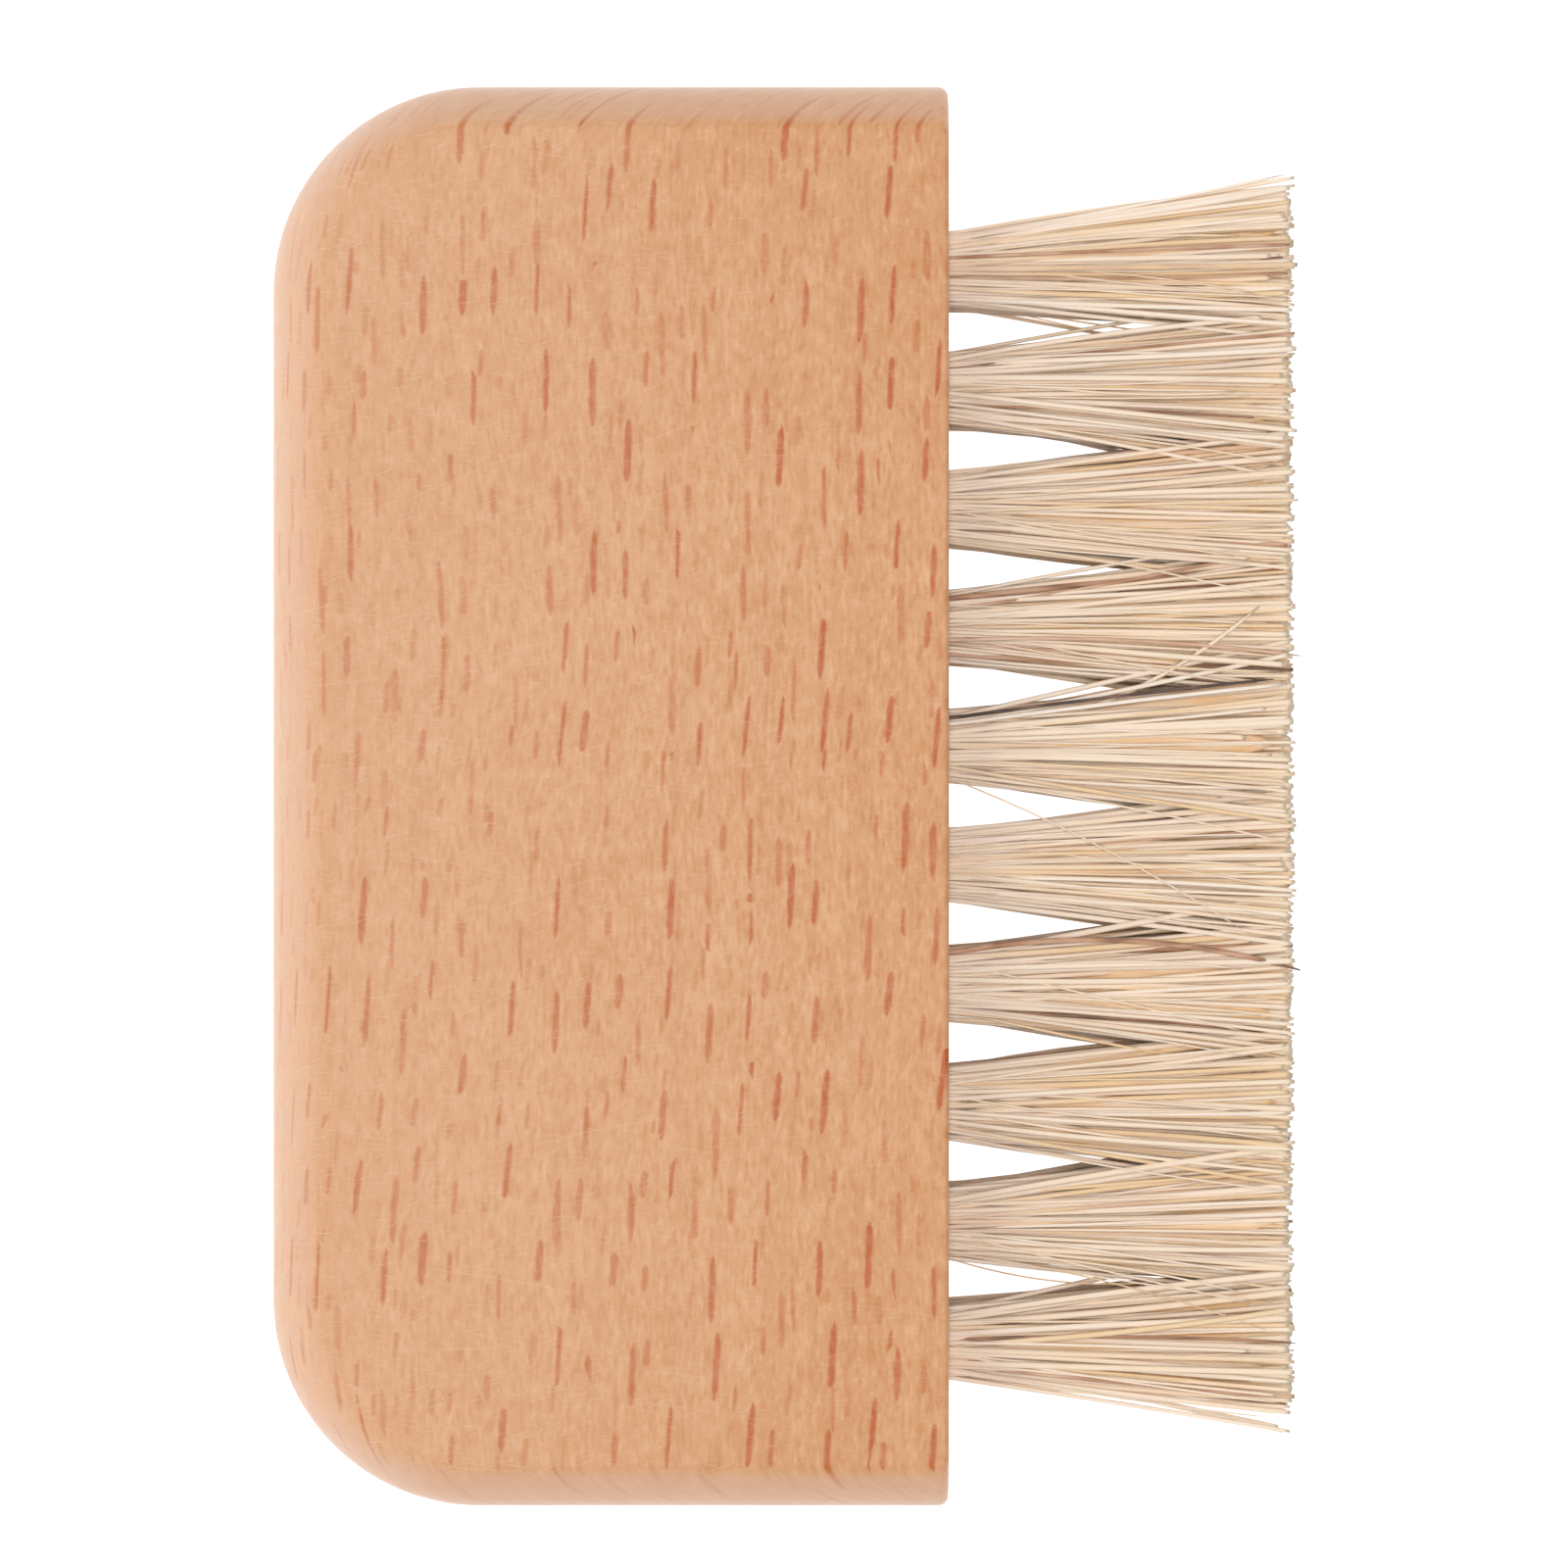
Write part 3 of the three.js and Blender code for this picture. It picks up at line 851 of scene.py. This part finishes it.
# Single bristles that stand apart from their tuft. Each has its tuft, where it
# leaves the hole and where its tip lies (y and z from the tuft's middle), its
# length, how far it bows sideways and up, its radius and its shade. Lengths are
# in millimetres here.
LOOSE_BRISTLES = [
    ("upper_06", (1.74, 1.9), (4.2, 5.0), 20.5, (0.1, 0.5), 0.115, 0.0),
    ("upper_06", (1.35, 2.0), (3.9, 4.4), 21.4, (0.1, 0.1), 0.14, 0.95),
    ("upper_06", (1.5, 0.6), (8.8, 5.0), 19.6, (-2.4, -0.4), 0.14, 0.6),
    ("upper_06", (-2.0, 1.0), (-11.6, 5.2), 18.5, (0.6, 0.9), 0.06, 0.5),
    ("upper_06", (-2.0, 1.1), (-6.2, 5.1), 21.7, (0.3, 0.4), 0.07, 0.55),
    ("upper_05", (-1.7, 1.5), (-4.4, 4.8), 19.5, (0.2, 0.2), 0.06, 0.5),
    ("upper_04", (2.0, 1.1), (1.0, 4.4), 22.2, (1.35, 0.5), 0.19, 0.09),
    ("upper_07", (-0.9, 2.1), (-1.9, 4.5), 22.2, (0.5, 0.3), 0.125, 0.13),
    ("upper_08", (-2.1, 1.0), (-5.8, 5.0), 20.4, (0.4, 0.4), 0.06, 0.5),
    ("upper_03", (-1.9, 1.3), (-5.3, 4.9), 21.0, (-0.3, 0.4), 0.06, 0.6),
    ("upper_02", (-1.8, 1.4), (-6.5, 5.0), 20.0, (0.6, 0.4), 0.05, 0.25),
    ("upper_02", (-2.2, 0.4), (-3.6, 2.4), 13.4, (-0.7, 0.2), 0.05, 0.2),
    ("upper_01", (0.3, 2.2), (0.2, 4.4), 21.9, (0.3, 0.3), 0.1, 0.06),
    ("upper_10", (1.9, 1.2), (5.8, 3.0), 21.2, (-0.2, 0.2), 0.11, 0.9),
    ("upper_09", (-2.0, 1.0), (-4.9, 4.9), 21.0, (0.3, 0.3), 0.06, 0.5),
]


def stray_bristles(rng):
    """Fine bristles that wander over the tufts on both broad sides, as LOOSE_BRISTLES gives them."""
    rim_radius = 2.3
    strays = []
    for row, up in (("upper", 1), ("lower", -1)):
        for number in range(1, PER_ROW + 1):
            for _ in range(STRAYS_PER_TUFT):
                root_y = rng.uniform(-2, 1.6)
                rim_z = math.sqrt(rim_radius ** 2 - root_y ** 2)
                root = (root_y, up * rim_z * rng.uniform(0.6, 0.98))
                tip = (root_y * 1.9 - abs(rng.normal(0, 2.2)) + 0.6, up * rng.uniform(4.1, 4.9))
                bow = (rng.normal(0, 0.3), up * rng.uniform(0.1, 0.5))
                length = rng.uniform(18, 21.5)
                shade = rng.uniform(0.4, 0.75)
                radius = rng.uniform(0.05, 0.08)
                strays.append((f"{row}_{number:02d}", root, tip, length, bow, radius, shade))
    return strays


def make_loose_bristles(material):
    rng = np.random.default_rng(SEED - 1)
    s = np.linspace(-0.1, 1, 16)
    paths, radii, shades = [], [], []
    for label, root, tip, length, bow, radius, shade in LOOSE_BRISTLES + stray_bristles(rng):
        low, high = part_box(f"tuft_{label}")
        root_y, root_z, tip_y, tip_z = (*root, *tip)
        free = np.maximum(s, 0)
        hump = 4 * free * (1 - free)
        centre_y, centre_z = (low.y + high.y) / 2, (low.z + high.z) / 2
        y = centre_y + (root_y + (tip_y - root_y) * free + bow[0] * hump) * MM
        z = centre_z + (root_z + (tip_z - root_z) * free + bow[1] * hump) * MM
        paths.append(np.stack([FACE_X + s * length * MM, y, z], axis=1))
        radii.append(radius * MM * np.interp(s, (-0.1, 0.9, 0.97, 1), (1.05, 0.95, 0.8, 0.25)))
        shades.append(np.full(len(s), shade))
    along = np.tile(np.maximum(s, 0), (len(paths), 1))
    paths, radii, shades = (np.array(values) for values in (paths, radii, shades))
    piece = tubes_object("loose_bristles", paths, radii, shades, along, rng)
    piece.data.materials.append(material)
    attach(piece, "root")


# Anchors


def wire_material():
    shader = Shader("drawn_steel_wire")
    point = shader.object_mm()
    lines = shader.noise(shader.stretched(point, (0.05, 0.05, 3)), detail=2)
    colour = shader.mix(shader.ramp(lines, 0.3, 0.7), linear((176, 178, 180)), linear((204, 206, 208)))
    return shader.finish(
        Base_Color=colour,
        Metallic=1.0,
        Roughness=shader.ramp(lines, 0.3, 0.7, 0.28, 0.42),
        Normal=shader.bump(lines, 0.005 * MM, 0.5),
    )


def finish_anchors(names):
    material = wire_material()
    for name in names:
        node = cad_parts[name]
        for slot in node.material_slots:
            slot.material = material


# Stage


FLOOR_REACH = 3.0


def make_floor():
    signs = ((-1, -1), (1, -1), (1, 1), (-1, 1))
    corners = [(x * FLOOR_REACH, y * FLOOR_REACH, 0) for x, y in signs]
    floor = mesh_object("floor", corners, [(0, 1, 2, 3)])
    shader = Shader("white_floor")
    point = shader.object_mm()
    speck = shader.noise(shader.stretched(point, (30, 30, 30)))
    colour = shader.mix(speck, linear((188, 188, 188)), linear((192, 192, 192)))
    floor.data.materials.append(shader.finish(
        Base_Color=colour,
        Roughness=0.9,
        Emission_Color=(1, 1, 1, 1),
        Emission_Strength=0.9,
    ))


def make_light(name, place, size, power):
    lamp = bpy.data.lights.new(name, "AREA")
    lamp.shape = "SQUARE"
    lamp.size = size
    lamp.energy = power
    light = bpy.data.objects.new(name, lamp)
    light.location = place
    light.rotation_euler = (-Vector(place)).to_track_quat("-Z", "Y").to_euler()
    bpy.context.scene.collection.objects.link(light)


HORIZON_LIGHT = 0.53
ZENITH_LIGHT = 0.34

# The name, place, side and power in watts of each softbox.
SOFTBOXES = (
    ("softbox_left", (-0.85, -0.1, 0.55), 0.8, 3.3),
    ("softbox_top", (0.03, 0.0, 0.9), 0.2, 3.8),
)


def make_lights():
    world = bpy.data.worlds.new("studio")
    world.use_nodes = True
    nodes, links = world.node_tree.nodes, world.node_tree.links
    direction = nodes.new("ShaderNodeTexCoord")
    apart = nodes.new("ShaderNodeSeparateXYZ")
    links.new(direction.outputs["Generated"], apart.inputs[0])
    height = nodes.new("ShaderNodeMapRange")
    links.new(apart.outputs["Z"], height.inputs["Value"])
    height.inputs["To Min"].default_value = HORIZON_LIGHT
    height.inputs["To Max"].default_value = ZENITH_LIGHT
    links.new(height.outputs[0], nodes["Background"].inputs["Strength"])
    nodes["Background"].inputs["Color"].default_value = (1, 1, 1, 1)
    bpy.context.scene.world = world
    for name, place, size, power in SOFTBOXES:
        make_light(name, place, size, power)


VIEW_DISTANCE = 0.62
PICTURE_SHARE = 0.9043  # of the picture's height that the block's length takes up
VIEW_SHIFT_X = 0.2 * MM  # how far the photograph's centre lies from the brush's middle
VIEW_SHIFT_Y = 0.78 * MM
SENSOR_WIDTH = 36  # in Blender's millimetres, as the focal length is


def make_camera():
    middle = (cad_low + cad_high) / 2
    lens = bpy.data.cameras.new("camera")
    camera = bpy.data.objects.new("camera", lens)
    edge_z = TOP_Z - ROUNDING_DEPTH
    camera.location = (middle.x + VIEW_SHIFT_X, middle.y + VIEW_SHIFT_Y, edge_z + VIEW_DISTANCE)
    lens.sensor_width = SENSOR_WIDTH
    lens.lens = lens.sensor_width * VIEW_DISTANCE * PICTURE_SHARE / (2 * HALF_LENGTH)
    lens.clip_start = 0.01
    bpy.context.scene.collection.objects.link(camera)
    bpy.context.scene.camera = camera


def main():
    make_camera()
    make_lights()
    make_floor()
    tufts = sorted(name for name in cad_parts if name.startswith("tuft_"))
    anchors = [name.replace("tuft_", "anchor_") for name in tufts]
    corners = [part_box(name) for name in tufts]
    make_block([((low.y + high.y) / 2, (low.z + high.z) / 2) for low, high in corners])
    material = bristle_material()
    lock_material = packed_material()
    for index, (name, anchor) in enumerate(zip(tufts, anchors)):
        make_tuft(name, anchor, index, material, lock_material)
    make_loose_bristles(material)
    finish_anchors(anchors)
    bpy.context.scene.view_settings.view_transform = "Standard"


main()
